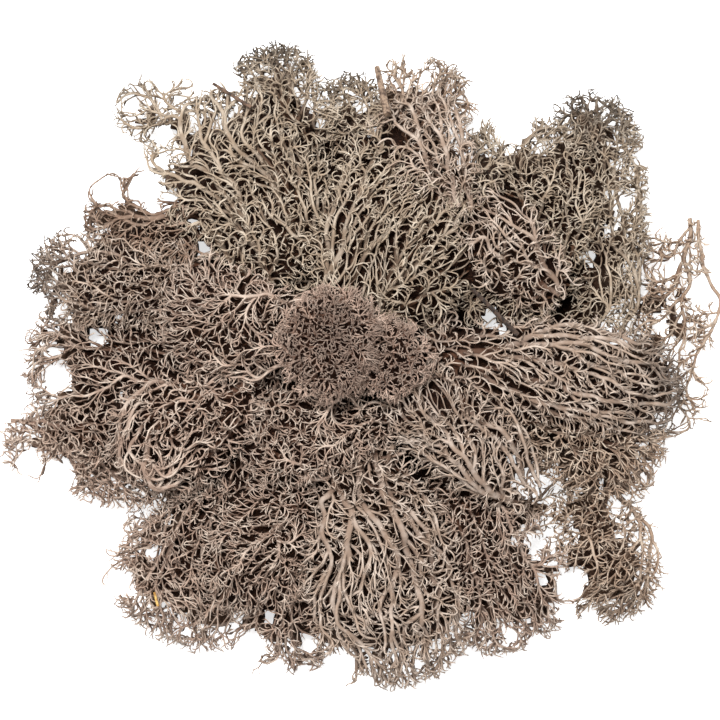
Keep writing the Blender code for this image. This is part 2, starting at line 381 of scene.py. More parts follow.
def grow(plant, spots, rng, curl, step, reach, done, keep, fork_after, spread, most_forks, rounds,
         wobble=0.10, lift=0.0, root=None):
    """Adds branch joints to a plant (joint place, heading, parent, steps since the last fork) until the open
    spots are used up."""
    place, heading, parent, since = plant
    if len(spots) == 0:
        return plant
    forks = np.bincount(parent[parent >= 0], minlength=len(place))
    near, gap = nearest(spots, place)
    spots, near, gap = spots[gap > done], near[gap > done], gap[gap > done]
    tries = np.zeros(len(spots), dtype=np.int64)
    for _ in range(rounds):
        tips = np.flatnonzero(forks == 0)
        nearest_tip, tip_gap = nearest(spots, place[tips])
        tip = tips[nearest_tip]
        ahead = ((spots - place[tip]) * heading[tip]).sum(axis=1) > FORWARD * tip_gap
        by_tip = (tip_gap < TIP_FIRST * gap) & ahead
        served = np.where(by_tip, tip, near)
        served_gap = np.where(by_tip, tip_gap, gap)
        pulling = (served_gap < reach) & (forks[served] < most_forks)
        if not pulling.any():
            break
        ends, who = np.unique(served[pulling], return_inverse=True)
        pull = (spots[pulling] - place[served[pulling]]) / np.maximum(served_gap[pulling], 1e-6)[:, None]
        total = np.stack([np.bincount(who, pull[:, axis], len(ends)) for axis in range(3)], axis=1)
        aim = unit(total)
        across = widest_spread(pull, who, aim, len(ends))
        pulls = np.bincount(who, minlength=len(ends))
        at_tip = forks[ends] == 0
        ripe = since[ends] >= fork_after + rng.integers(0, 2, len(ends))
        splits = at_tip & ripe & (pulls > PULLS_TO_FORK)
        sway = curl * (SHORT_SWAY * drift(place[ends], SWAY) + LONG_SWAY * drift(place[ends], BEND))
        sway += wobble * rng.normal(size=(len(ends), 3))
        if lift > 0.0:
            sway += lift * unit(place[ends] - root)
        kept = np.where(at_tip, keep, SIDE_KEEP * keep)[:, None]
        onward = kept * heading[ends] + (1.0 - kept) * aim + sway
        lean = spread * rng.uniform(0.7, 1.3, len(ends))[:, None] * across
        headings = np.vstack([unit(np.where(splits[:, None], unit(onward) + lean, onward)),
                              unit(unit(onward[splits]) - lean[splits])])
        owners = np.concatenate([ends, ends[splits]])
        fresh = place[owners] + step * rng.uniform(0.8, 1.2, len(owners))[:, None] * headings
        fresh[:, 2] = np.maximum(fresh[:, 2], LOWEST)
        free = ~in_gap(fresh, -0.5)
        fresh, headings, owners = fresh[free], headings[free], owners[free]
        if len(fresh) == 0:
            break
        base = len(place)
        place = np.vstack([place, fresh])
        heading = np.vstack([heading, headings])
        parent = np.concatenate([parent, owners])
        straight = np.concatenate([at_tip & ~splits, np.zeros(int(splits.sum()), dtype=bool)])[free]
        since = np.concatenate([since, np.where(straight, since[owners] + 1, 0)])
        forks = np.concatenate([forks, np.zeros(len(fresh), dtype=np.int64)])
        np.add.at(forks, owners, 1)
        closer, closer_gap = nearest(spots, fresh)
        better = closer_gap < gap - 0.02
        near = np.where(better, closer + base, near)
        gap = np.where(better, closer_gap, gap)
        tries = np.where(pulling & ~better, tries + 1, tries)
        left = (gap > done) & (tries < PATIENCE)
        spots, near, gap, tries = spots[left], near[left], gap[left], tries[left]
        if len(spots) == 0:
            break
    return place, heading, parent, since


# %% [markdown]
# Open spots are what the branches grow towards, so they decide the shape of the tuft. They are strewn
# evenly through the solid, with a frayed fringe past its faces, and through the places where the tuft
# spills over.

# %% Open spots
SPREAD = 5.0                    # furthest a net reaches past its own solid, mm
AMONG_OTHERS = 6.0              # this far in from the rim a tuft lies against other tufts, mm
INNER_FRINGE = 1.5              # the fringe is this much wider there
RIM_FRINGE = 0.65               # and this much narrower at the outline of the heap
LOBE_REACH = 4.0                # furthest a lobe grows into a neighbour, mm


def corner_points(name):
    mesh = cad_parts[name].data
    points = np.empty(3 * len(mesh.vertices))
    mesh.vertices.foreach_get("co", points)
    return points.reshape(-1, 3) / MM


def spots_in(planes, corners, spacing, fringe, rng):
    """Open spots spread evenly through a tuft's room. With a fringe they fray out past its faces, by more
    where it lies against other tufts than at the outline of the heap."""
    low = corners.min(axis=0) - SPREAD
    high = corners.max(axis=0) + SPREAD
    spots = rng.uniform(low, high, (int(np.prod(high - low) / spacing ** 3), 3))
    outside = outside_by(planes, spots)
    if fringe > 0.0:
        among_others = over_grid(RIM_DISTANCE, spots) > AMONG_OTHERS
        not_above = spots[:, 2] < over_grid(HEAP_TOP, spots) + 1.0
        fringe = (np.where(among_others, INNER_FRINGE * fringe, RIM_FRINGE * fringe)
                  * np.clip(0.35 + 0.8 * swell(spots, FRAY), 0.0, 1.6))
        lobe = np.clip(swell(spots, LOBES) - 0.4, 0.0, 1.0)
        fringe += np.where(among_others & not_above, LOBE_REACH, 0.0) * lobe
    inside = (outside < fringe) & (spots[:, 2] > 0.3)
    return spots[inside], outside[inside]


def spill_spots(name, spacing, rng):
    """Open spots in the places where this tuft spills over."""
    spots = [np.empty((0, 3))]
    for x, y, z, radius, rise in SPILLS.get(name, []):
        count = int(8.0 * radius * radius * rise / spacing ** 3)
        unit_spots = rng.uniform(-1.0, 1.0, (count, 3))
        unit_spots = unit_spots[(unit_spots ** 2).sum(axis=1) < 1.0]
        spots.append(np.array([x, y, z]) + unit_spots * [radius, radius, rise])
    return np.vstack(spots)


trial, _ = spots_in(ROOM["tuft_summit"], corner_points("tuft_summit"), 2.0, 0.0, np.random.default_rng(1))
print("open spots 2 mm apart in the summit tuft:", len(trial))

# %% [markdown]
# The podetia stand side by side at the torn end, where the picker's hand held the plant, and fan out a
# little. In the tufts that lie on their side they start just under the upper face.

# %% Where the podetia start
START_WIDTH = 0.7               # share of the torn end's width that the podetia take
START_FAN = 0.45                # how far the outer ones lean out
START_DEPTH = 9.0               # mm under the upper face


def podetia_starts(torn_end, crown_end, corners, count, rng):
    axis = crown_end - torn_end
    axis /= np.linalg.norm(axis)
    along = (corners - torn_end) @ axis
    first = along.min()
    start = torn_end + axis * max(first, 0.0)
    side = np.cross([0.0, 0.0, 1.0], axis)
    side = side / np.linalg.norm(side) if np.linalg.norm(side) > 0.2 else np.array([1.0, 0.0, 0.0])
    near_end = corners[along < first + 0.25 * (along.max() - first)]
    half_width = START_WIDTH * np.abs((near_end - start) @ side).max()
    shares = (np.arange(count) + 0.5) / count * 2.0 - 1.0
    places = start + side * (shares * half_width)[:, None] + rng.normal(0.0, 0.6, (count, 3))
    headings = unit(axis + side * (START_FAN * shares)[:, None])
    return places, headings, axis


def lay_in_upper_face(planes, places, depth):
    low, top, over = height_span(planes, places[:, :2])
    moved = places.copy()
    moved[:, 2] = np.where(over, np.maximum(top - depth, low), places[:, 2])
    return moved


# %% [markdown]
# Three orders of branches are grown one after the other. The main stems come first: where a tuft lies
# with its podetia bare on top they spread through a thin layer just under the upper face, which makes the
# flat ribbed fans, and in the other tufts they spread through the whole depth. Inner twigs follow, and
# last the fine net. Each order has its own step, reach and fork, all lengths in mm.

# %% Main stems
FAN_STEMS = dict(step=1.0, reach=20.0, done=1.2, keep=0.5,
                 fork_after=4, spread=0.6, most_forks=2, rounds=150)
NET_STEMS = dict(step=1.0, reach=20.0, done=1.0, keep=0.55,
                 fork_after=3, spread=0.6, most_forks=2, rounds=150)
CUSHION_STEMS = dict(step=1.2, reach=20.0, done=1.7, keep=0.5,
                     fork_after=4, spread=0.5, most_forks=2, rounds=110)
FAN_SPACING = 2.5               # distance between the open spots of the main stems, mm
CUSHION_SPACING = 3.4
NET_SPACING = 1.9
FAN_LAYER = (0.2, 2.6)          # depth of a fan's layer under the upper face, mm
FAN_SHARE = 0.7                 # share of the spots kept there
NET_LAYER = (0.4, 4.6)          # cover over the main stems of a net, mm


def main_branches(plant, planes, corners, bare, curl, spilled, rng):
    """The podetia: a forking fan just under the upper face, a sheaf in a cushion, or a spray in a net."""
    if bare > 0.0:
        spots, _ = spots_in(planes, corners, FAN_SPACING, 0.0, rng)
        _, top, over = height_span(planes, spots[:, :2])
        spots[:, 2] = np.where(over, top - rng.uniform(*FAN_LAYER, len(top)), spots[:, 2])
        spots = np.vstack([spots[over & (rng.random(len(top)) < FAN_SHARE)], spilled])
        return grow(plant, spots, rng, 1.6 * curl, **FAN_STEMS)
    if bare < 0.0:
        spots, outside = spots_in(planes, corners, CUSHION_SPACING, 0.0, rng)
        return grow(plant, spots[outside < -2.0], rng, curl, **CUSHION_STEMS)
    spots, outside = spots_in(planes, corners, NET_SPACING, 0.0, rng)
    cover = cover_over(spots)
    spots = np.vstack([spots[(outside < -1.6) & (cover > NET_LAYER[0]) & (cover < NET_LAYER[1])], spilled])
    spots = spots[~in_gap(spots, 0.8)]
    return grow(plant, spots, rng, 1.3 * curl, **NET_STEMS)


# %% [markdown]
# The inner twigs are sparse, because the inside of a living tuft is mostly bare stems. They also fill in
# under the rim, where the table would show through too much.

# %% Inner twigs
INNER_TWIGS = dict(step=1.4, reach=9.0, done=1.2, keep=0.45,
                   fork_after=2, spread=0.6, most_forks=2, rounds=30)
INNER_SPACING = 2.6             # mm
FINE_DEPTH = 3.0                # how deep the fine net goes, mm
INNER_DEPTH = 6.8               # how deep the inner twigs go, mm
UNDER_RIM = (2.5, 10.0)         # distance from the rim in which they fill in from FILL_DEPTH down
FILL_DEPTH = 2.5


def inner_spots(name, planes, corners, rng):
    spots, _ = spots_in(planes, corners, INNER_SPACING, -0.5, rng)
    spots = np.vstack([spots, spill_spots(name, INNER_SPACING, rng)])
    cover = cover_over(spots)
    from_above = over_grid(HEAP_TOP, spots) - spots[:, 2]
    rim = over_grid(RIM_DISTANCE, spots)
    under_rim = (rim > UNDER_RIM[0]) & (rim < UNDER_RIM[1]) & (from_above > FILL_DEPTH)
    return spots[(under_rim | ((cover > FINE_DEPTH) & (cover < INNER_DEPTH))) & ~in_gap(spots, 1.5)]


# %% [markdown]
# The fine net covers everything that sees light: a thin coat on top, a deeper one at the rim. It thins
# out downwards, leaves hollows, and leaves the stems of the fans bare near the torn end, in patches.
# Loose sprigs that stand out of the heap are a short line of spots each.

# %% The fine net
FINE_TWIGS = dict(reach=4.0, keep=0.58, fork_after=2, spread=0.72,
                  most_forks=3, rounds=40, wobble=0.16)
FINE_FRINGE = 1.4               # mm
CUSHION_DEPTH = 2.1             # how deep the fine net goes in a cushion, mm
RIM_ZONE = 9.0                  # width of the zone at the rim, mm
RIM_DEPTH = 6.0                 # how deep the fine net goes there, mm
HOLLOW = 1.35                   # above this the cushion waves leave the net open
BARE_SKIN = 2.0                 # bare stems are clear of the net down to this depth, mm
SPRIG_SPOTS = 14


def sprig_spots(planes, rng):
    """Open spots along the loose sprigs that stand out of this tuft."""
    spots = []
    for foot, end in SPURS:
        if outside_by(planes, foot[None, :])[0] < 1.0:
            share = np.linspace(0.0, 1.0, SPRIG_SPOTS)[:, None]
            spots.append(foot + (end - foot) * share + rng.normal(0.0, 0.9, (SPRIG_SPOTS, 3)))
    return np.vstack(spots) if spots else np.empty((0, 3))


def fine_spots(name, planes, corners, axis, rng):
    tuft = TUFTS[name]
    torn_end = np.array(tuft.torn_end, dtype=float)
    length = np.linalg.norm(np.array(tuft.crown_end, dtype=float) - torn_end)
    spots, _ = spots_in(planes, corners, tuft.spacing, FINE_FRINGE, rng)
    along = ((spots - torn_end) @ axis) / length
    cover = cover_over(spots)
    at_rim = over_grid(RIM_DISTANCE, spots) < RIM_ZONE
    deepest = np.where(at_rim, RIM_DEPTH, FINE_DEPTH if tuft.bare >= 0.0 else CUSHION_DEPTH)
    kept = (cover < deepest) & ~in_gap(spots, 0.0)
    kept &= swell(spots, CUSHION) < HOLLOW
    kept &= at_rim | (rng.random(len(spots)) > 0.4 * np.clip((cover - 1.2) / 1.6, 0.0, 1.0))
    if tuft.bare > 0.0:
        _, top, over = height_span(planes, spots[:, :2])
        edge = np.clip((tuft.bare - along) / 0.25, 0.0, 1.0)
        covered = over & (spots[:, 2] > top - BARE_SKIN)
        shown = np.clip(0.9 + swell(spots, PATCHES), 0.0, 0.9)
        kept &= ~(covered & (rng.random(len(spots)) < shown * edge))
    spilled = spill_spots(name, tuft.spacing, rng)
    spilled = spilled[(cover_over(spilled) < FINE_DEPTH) & ~in_gap(spilled, 0.0)]
    return np.vstack([spots[kept], spilled, sprig_spots(planes, rng)])


# %% [markdown]
# One plant is the three orders together. In the two upright cushions the twigs are also drawn outwards
# from the torn end, which gives the round heads.

# %% One plant
CUSHION_LIFT = 0.45


def grow_tuft(name, seed):
    tuft = TUFTS[name]
    rng = np.random.default_rng(seed)
    planes = ROOM[name]
    corners = corner_points(name)
    torn_end = np.array(tuft.torn_end, dtype=float)
    crown_end = np.array(tuft.crown_end, dtype=float)
    places, headings, axis = podetia_starts(torn_end, crown_end, corners, tuft.podetia, rng)
    if tuft.bare >= 0.0:
        places = lay_in_upper_face(planes, places, START_DEPTH)
    no_parent = np.full(tuft.podetia, -1, dtype=np.int64)
    plant = (places, headings, no_parent, rng.integers(0, 4, tuft.podetia))
    spilled = spill_spots(name, FAN_SPACING, rng)
    plant = main_branches(plant, planes, corners, tuft.bare, tuft.curl, spilled, rng)
    plant = grow(plant, inner_spots(name, planes, corners, rng), rng, tuft.curl, **INNER_TWIGS)
    spots = fine_spots(name, planes, corners, axis, rng)
    lift = CUSHION_LIFT if tuft.bare < 0.0 else 0.0
    return grow(plant, spots, rng, 0.45 * tuft.curl, step=0.8 * tuft.spacing, done=0.66 * tuft.spacing,
                lift=lift, root=torn_end, **FINE_TWIGS)


sample = grow_tuft("spur_back_left", 0)

# %% [markdown]
# Each branch is as thick as the branches it carries: the sum of their cross-sections, taken with a high
# power, gives 0.35 mm tips and stems up to 2 mm, as on real reindeer lichen. Joints are smoothed a
# little, so that a branch bends instead of breaking at every joint.

# %% Branch thickness
CUSHION_TIP = 0.185             # radius of the tips in the cushions and the fans, mm
NET_TIP = 0.18                  # and in the nets
NET_POWER = 7.0                 # how slowly branches thicken towards the root in a net
FAN_POWER = 4.7                 # the same in a fan of bare podetia
WIDEST = 1.05                   # mm
OLD_EXTRA = 0.30                # mm added to the radius of the old branches deep inside
OLD_FROM = 4.0                  # mm of cover at which that begins, and over which it builds up


def branch_weights(parent, count):
    """How many tips every joint carries, and the branch that goes straight on from it."""
    carried = np.zeros(count)
    main = np.full(count, -1, dtype=np.int64)
    best = np.zeros(count)
    for joint in range(count - 1, -1, -1):
        if carried[joint] == 0.0:
            carried[joint] = 1.0
        above = parent[joint]
        if above >= 0:
            carried[above] += carried[joint]
            if carried[joint] > best[above]:
                best[above] = carried[joint]
                main[above] = joint
    return carried, main


def smoothed(place, parent, main, passes):
    """Draws every joint towards the middle of its two neighbours on the same branch."""
    has_both = (parent >= 0) & (main >= 0)
    for _ in range(passes):
        below = place[np.maximum(main, 0)]
        above = place[np.maximum(parent, 0)]
        middle = 0.5 * place + 0.25 * (above + below)
        place = np.where(has_both[:, None], middle, place)
    return place


def distance_to_tip(place, parent):
    """Way along the branches from every joint to the nearest tip."""
    count = len(place)
    ahead = np.full(count, np.inf)
    step = np.linalg.norm(place - place[np.maximum(parent, 0)], axis=1)
    for joint in range(count - 1, -1, -1):
        if ahead[joint] == np.inf:
            ahead[joint] = 0.0
        above = parent[joint]
        if above >= 0:
            ahead[above] = min(ahead[above], ahead[joint] + step[joint])
    return ahead


weights, _ = branch_weights(sample[2], len(sample[2]))
print("its stems carry up to", int(weights.max()), "tips")

# %% [markdown]
# Branches become tubes. Each run of joints from a fork to a tip is one tube that starts wide inside its
# parent, which gives the webbed axils. The finest are three-sided, because a hair 0.4 mm thick never
# shows its section; the stems have up to eight sides and are slightly flattened.

# %% Runs and sides
SIDES = ((0.37, 3), (0.62, 4), (0.95, 6))       # sides of a tube up to this radius in mm
MOST_SIDES = 8


def strands(parent, main):
    """Runs of joints that form one tube each, starting inside the parent branch."""
    runs = []
    for joint in range(len(parent)):
        above = parent[joint]
        if above >= 0 and main[above] == joint:
            continue
        run = [joint]
        while main[run[-1]] >= 0:
            run.append(main[run[-1]])
        if above < 0 and len(run) < 2:
            continue
        runs.append((above, run))
    return runs


def sides_for(radius):
    for widest, sides in SIDES:
        if radius < widest:
            return sides
    return MOST_SIDES


print("a stem of radius 0.7 mm has", sides_for(0.7), "sides")

# %% [markdown]
# All tubes with the same number of sides are built in one go. A ring needs a direction across the branch
# that doesn't spin from joint to joint, so the first one is laid level and each next one is the last, set
# square to the branch again. The last joint of a run is a single point, which closes the tube.

# %% Tubes
def tube_mesh(points, radii, lengths, sides, flatness):
    """Rings round every point but the last of each strand, which is a single pointed vertex."""
    starts = np.concatenate([[0], np.cumsum(lengths)[:-1]])
    total = len(points)
    index = np.arange(total)
    first = np.zeros(total, dtype=bool)
    last = np.zeros(total, dtype=bool)
    first[starts] = True
    last[starts + lengths - 1] = True
    after = np.where(last, index, index + 1)
    before = np.where(first, index, index - 1)
    tangent = unit(points[after] - points[before])
    across = np.empty_like(points)
    level = np.cross([0.0, 0.0, 1.0], tangent[starts])
    flat_ok = np.linalg.norm(level, axis=1) > 0.15
    level = np.where(flat_ok[:, None], level, np.cross([1.0, 0.0, 0.0], tangent[starts]))
    across[starts] = unit(level)
    for hop in range(1, int(lengths.max())):
        here = starts[lengths > hop] + hop
        carried = across[here - 1]
        along = tangent[here]
        carried = carried - (carried * along).sum(axis=1)[:, None] * along
        across[here] = unit(carried)
    upward = np.cross(tangent, across)
    angle = 2.0 * math.pi * np.arange(sides) / sides
    ring_rows = np.flatnonzero(~last)
    tip_rows = np.flatnonzero(last)
    thin = radii * flatness
    wide = radii[ring_rows, None, None] * np.cos(angle)[None, :, None] * across[ring_rows, None, :]
    tall = thin[ring_rows, None, None] * np.sin(angle)[None, :, None] * upward[ring_rows, None, :]
    rings = points[ring_rows, None, :] + wide + tall
    number = np.full(total, -1, dtype=np.int64)
    number[ring_rows] = np.arange(len(ring_rows)) * sides
    number[tip_rows] = len(ring_rows) * sides + np.arange(len(tip_rows))
    vertices = np.vstack([rings.reshape(-1, 3), points[tip_rows]])
    owner = np.concatenate([np.repeat(ring_rows, sides), tip_rows])
    corner = np.arange(sides)
    next_corner = (corner + 1) % sides
    joined = ring_rows[~last[np.minimum(ring_rows + 1, total - 1)]]
    a = number[joined][:, None] + corner
    b = number[joined][:, None] + next_corner
    c = number[joined + 1][:, None] + next_corner
    d = number[joined + 1][:, None] + corner
    quads = np.stack([a, b, c, d], axis=2).reshape(-1, 4)
    ending = ring_rows[last[np.minimum(ring_rows + 1, total - 1)]]
    a = number[ending][:, None] + corner
    b = number[ending][:, None] + next_corner
    c = np.broadcast_to(number[ending + 1][:, None], a.shape)
    triangles = np.stack([a, b, c], axis=2).reshape(-1, 3)
    return vertices, quads, triangles, owner


# %% [markdown]
# Seen through a lens, every tip of reindeer lichen ends in a tiny star of two or three points. Each tip
# that can be seen gets one or two extra spikes, which make the star together with the tip itself.

# %% Stars
SPIKE_DEPTH = 2.2               # only tips under less cover than this get spikes, mm
SPIKE_RADIUS = 0.75             # of the tip's radius
SPIKE_LENGTH = (0.5, 0.95)      # mm
SPIKE_LEAN = (0.7, 1.3)
SPIKE_FOOT = 0.35               # how far behind the tip they start, mm


def star_spikes(tips, directions, radii, fineness, rng):
    """Short three-sided spikes leaning out round each tip."""
    spikes = rng.integers(1, 3, len(tips))
    rows = np.repeat(np.arange(len(tips)), spikes)
    count = len(rows)
    direction = directions[rows]
    lean = unit(np.cross(direction, rng.normal(size=(count, 3))))
    pointing = unit(direction + lean * rng.uniform(*SPIKE_LEAN, count)[:, None])
    length = fineness * rng.uniform(*SPIKE_LENGTH, count)
    across = unit(np.cross(pointing, rng.normal(size=(count, 3))))
    upward = np.cross(pointing, across)
    angle = 2.0 * math.pi * np.arange(3) / 3
    wide = radii[rows, None, None] * (np.cos(angle)[None, :, None] * across[:, None, :]
                                      + np.sin(angle)[None, :, None] * upward[:, None, :])
    base = tips[rows, None, :] + wide
    apex = tips[rows] + pointing * length[:, None]
    vertices = np.concatenate([base, apex[:, None, :]], axis=1).reshape(-1, 3)
    start = 4 * np.arange(count)[:, None]
    triangles = np.concatenate([start + [[0, 1, 3]], start + [[1, 2, 3]], start + [[2, 0, 3]]])
    return vertices, triangles


# %% [markdown]
# The arrays are written straight into a Blender mesh, which is much faster than adding faces one by one.
# What the finishes need to know about each point goes along as named values.

# %% Writing a mesh
def write_mesh(name, vertices, quads, triangles, values):
    mesh = bpy.data.meshes.new(name)
    loops = np.concatenate([quads.ravel(), triangles.ravel()]).astype(np.int32)
    sizes = np.concatenate([np.full(len(quads), 4), np.full(len(triangles), 3)])
    starts = np.concatenate([[0], np.cumsum(sizes)[:-1]]).astype(np.int32)
    mesh.vertices.add(len(vertices))
    mesh.vertices.foreach_set("co", (vertices * MM).astype(np.float32).ravel())
    mesh.loops.add(len(loops))
    mesh.loops.foreach_set("vertex_index", loops)
    mesh.polygons.add(len(sizes))
    mesh.polygons.foreach_set("loop_start", starts)
    mesh.polygons.foreach_set("use_smooth", np.ones(len(sizes), dtype=bool))
    for key, value in values.items():
        attribute = mesh.attributes.new(key, "FLOAT", "POINT")
        attribute.data.foreach_set("value", value.astype(np.float32))
    mesh.update(calc_edges=True)
    mesh.validate()
    piece = bpy.data.objects.new(name, mesh)
    bpy.context.scene.collection.objects.link(piece)
    return piece


def crown_share(tuft, points):
    """0 over most of a tuft, rising to 1 at its crown."""
    torn_end = np.array(tuft.torn_end, dtype=float)
    axis = np.array(tuft.crown_end, dtype=float) - torn_end
    along = ((points - torn_end) @ axis) / (axis @ axis)
    return np.clip((along - CROWN_FROM) / (1.0 - CROWN_FROM) + 0.35 * swell(points, FRAY), 0.0, 1.0)


# %% [markdown]
# One function turns a plant into its mesh: thickness, tubes, stars and the five values for the finish,
# which are the way to the nearest tip, the girth, the cover, the distance from the rim and the share of
# the crown.

# %% From plant to mesh
CROWN_FROM = 0.72               # share of the tuft's length where its crown begins
SMOOTHING = 2                   # passes
WEB = 0.22                      # stems are this much thicker at a fork
FLATTEST = 0.40                 # the thickest stems are this much thinner than wide


def branch_radii(tuft, place, parent, carried, rng):
    """Radius of every joint, and the same without the swelling of old and forked wood."""
    fineness = math.sqrt(tuft.spacing)
    power = FAN_POWER if tuft.bare > 0.0 else NET_POWER
    tip_radius = NET_TIP if tuft.bare == 0.0 else CUSHION_TIP
    radius = np.minimum(tip_radius * fineness * carried ** (1.0 / power), WIDEST)
    living = radius.copy()
    radius += OLD_EXTRA * np.clip((cover_over(place) - OLD_FROM) / OLD_FROM, 0.0, 1.0)
    radius *= 1.0 + 0.10 * swell(place * 2.0, FRAY)
    radius *= rng.uniform(0.92, 1.08, len(radius))
    forked = np.bincount(parent[parent >= 0], minlength=len(parent)) > 1
    radius *= 1.0 + WEB * forked * np.clip((living - 0.3) / 0.2, 0.0, 1.0)
    return radius, living


def lichen_mesh(name, plant, seed):
    tuft = TUFTS[name]
    place, _, parent, _ = plant
    rng = np.random.default_rng(seed + 500)
    carried, main = branch_weights(parent, len(parent))
    place = smoothed(place, parent, main, SMOOTHING)
    radius, living = branch_radii(tuft, place, parent, carried, rng)
    ahead = distance_to_tip(place, parent)
    groups = {}
    tip_rows = []
    for above, run in strands(parent, main):
        radii = radius[run]
        points = place[run]
        reach = ahead[run]
        if above >= 0:
            points = np.vstack([place[above], points])
            radii = np.concatenate([[min(0.85 * radius[above], 1.7 * radii[0])], radii])
            reach = np.concatenate([[ahead[above]], reach])
        groups.setdefault(sides_for(living[run].max()), []).append((points, radii, reach))
        if len(run) > 1:
            tip_rows.append(run[-1])
    vertices, quads, triangles, tipness, girth = [], [], [], [], []
    offset = 0
    for sides, members in groups.items():
        points = np.vstack([m[0] for m in members])
        radii = np.concatenate([m[1] for m in members])
        reach = np.concatenate([m[2] for m in members])
        lengths = np.array([len(m[0]) for m in members])
        flat = 1.0 - FLATTEST * np.clip((radii - 0.35) / 0.5, 0.0, 1.0)
        v, q, t, owner = tube_mesh(points, radii, lengths, sides, flat)
        vertices.append(v)
        quads.append(q + offset)
        triangles.append(t + offset)
        tipness.append(reach[owner])
        girth.append(radii[owner])
        offset += len(v)
    toward = unit(place[tip_rows] - place[parent[tip_rows]])
    foot = place[tip_rows] - SPIKE_FOOT * toward
    exposed = cover_over(foot) < SPIKE_DEPTH
    foot, toward = foot[exposed], toward[exposed]
    fineness = math.sqrt(tuft.spacing)
    spike_radii = np.full(len(foot), SPIKE_RADIUS * CUSHION_TIP * fineness)
    v, t = star_spikes(foot, toward, spike_radii, fineness, rng)
    vertices.append(v)
    triangles.append(t + offset)
    tipness.append(np.zeros(len(v)))
    girth.append(np.full(len(v), CUSHION_TIP))
    vertices = np.vstack(vertices)
    quads = np.vstack(quads)
    triangles = np.vstack(triangles)
    values = {
        "to_tip": np.concatenate(tipness),
        "girth": np.concatenate(girth),
        "sunk": cover_over(vertices),
        "rim": over_grid(RIM_DISTANCE, vertices),
        "crown": crown_share(tuft, vertices),
    }
    piece = write_mesh("lichen_" + name, vertices, quads, triangles, values)
    return piece, 2 * len(quads) + len(triangles)


# %% [markdown]
# Now every tuft is grown, each with a seed of its own, so that one can be changed without the others.

# %% Grow the heap
FIRST_SEED = 100
grown = {}
total_triangles = 0
for seed, name in enumerate(TUFTS, FIRST_SEED):
    plant = grow_tuft(name, seed)
    piece, triangles = lichen_mesh(name, plant, seed)
    grown[name] = piece
    total_triangles += triangles
    print(f"{name:20s} joints {len(plant[0]):6d} triangles {triangles:7d}")
print("triangles in all", total_triangles, "after", round(time.time() - START, 1), "s")

# %% [markdown]
# The oldest, dead parts of the lichen are felted together under the tufts. The five beds of the packed
# part stand for this: one lumpy dark mass that follows the heap some way under its surface and is open
# where the heap is open. Its dark colour is partly painted shade, which darkens the deep gaps between the
# branches. It is made on a level grid, top and underside, and shared out among the beds.

# %% The felted beds
FELT_CELL = 1.5                 # mm
FELT_DEPTH = 6.5                # under the surface of the heap, mm
FELT_RIM = 6.2                  # mm in from the rim where it begins
FELT_FOOT = 0.6                 # height of its underside over the table, mm
THINNEST = 1.4                  # mm
LOW_HEAP = 20.0                 # where the heap is lower than this the felt lies deeper, mm
HOLE_FROM = 1.35                # above this the hole waves open the felt


def felt_heights(xs, ys):
    """Height of the felt's top over a level grid, 0 where it is open."""
    spots = np.column_stack([xs.ravel(), ys.ravel(), np.zeros(xs.size)])
    rim = over_grid(RIM_DISTANCE, spots)
    heap_top = over_grid(HEAP_TOP, spots)
    under_top = heap_top - FELT_DEPTH - 0.5 * np.maximum(LOW_HEAP - heap_top, 0.0)
    inside_rim = 1.5 * (rim - FELT_RIM) + 3.0 * swell(spots, FRAY)
    top = np.minimum(under_top, inside_rim) + 0.9 * swell(spots, FRAY) + 0.5 * swell(3.0 * spots, FRAY)
    top[swell(spots, HOLES) > HOLE_FROM + 0.03 * rim] = 0.0
    top[in_gap(spots, 0.1)] = 0.0
    return top.reshape(xs.shape)


def felt_mesh(name, cells, tops):
    """A closed mass over the given grid cells."""
    corners = {}
    vertices, quads = [], []

    def corner(i, j, level):
        key = (i, j, level)
        if key not in corners:
            corners[key] = len(vertices)
            x, y = FELT_X[i], FELT_Y[j]
            shift = 0.4 * drift(np.array([[x, y, 0.0]]), RUFFLE)[0]
            vertices.append((x + shift[0], y + shift[1], tops[i, j] if level else FELT_FOOT))
        return corners[key]

    for i, j in sorted(cells):
        around = [(i, j), (i + 1, j), (i + 1, j + 1), (i, j + 1)]
        besides = [(i, j - 1), (i + 1, j), (i, j + 1), (i - 1, j)]
        quads.append([corner(a, b, 1) for a, b in around])
        quads.append([corner(a, b, 0) for a, b in reversed(around)])
        for (a, b), (c, d), beside in zip(around, around[1:] + around[:1], besides):
            if beside not in cells:
                quads.append([corner(a, b, 0), corner(c, d, 0), corner(c, d, 1), corner(a, b, 1)])
    vertices = np.array(vertices)
    values = {"rim": over_grid(RIM_DISTANCE, vertices)}
    return write_mesh(name, vertices, np.array(quads), np.empty((0, 3), dtype=np.int64), values)


# %% [markdown]
# Every square of the felt goes to the bed whose middle is nearest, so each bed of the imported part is
# replaced by its own share of the mass.

# %% Sharing out the felt
FELT_X = np.arange(-108.0, 108.1, FELT_CELL)
FELT_Y = np.arange(-100.0, 100.1, FELT_CELL)
felt_tops = felt_heights(*np.meshgrid(FELT_X, FELT_Y, indexing="ij"))
middles = np.array(list(BEDS.values()), dtype=float)
shares = {name: set() for name in BEDS}
for i in range(len(FELT_X) - 1):
    for j in range(len(FELT_Y) - 1):
        if felt_tops[i:i + 2, j:j + 2].min() > THINNEST:
            spot = np.array([FELT_X[i], FELT_Y[j]])
            shares[list(BEDS)[((middles - spot) ** 2).sum(axis=1).argmin()]].add((i, j))
felts = {name: felt_mesh("felt_" + name, cells, felt_tops) for name, cells in shares.items()}
for name, piece in felts.items():
    print(name, len(piece.data.polygons), "faces")

# %% [markdown]
# Finishes are made from nodes. Two small helpers keep them readable: one turns a colour as a designer
# writes it into the linear values that the shader wants, the other adds a node with its settings and
# links.

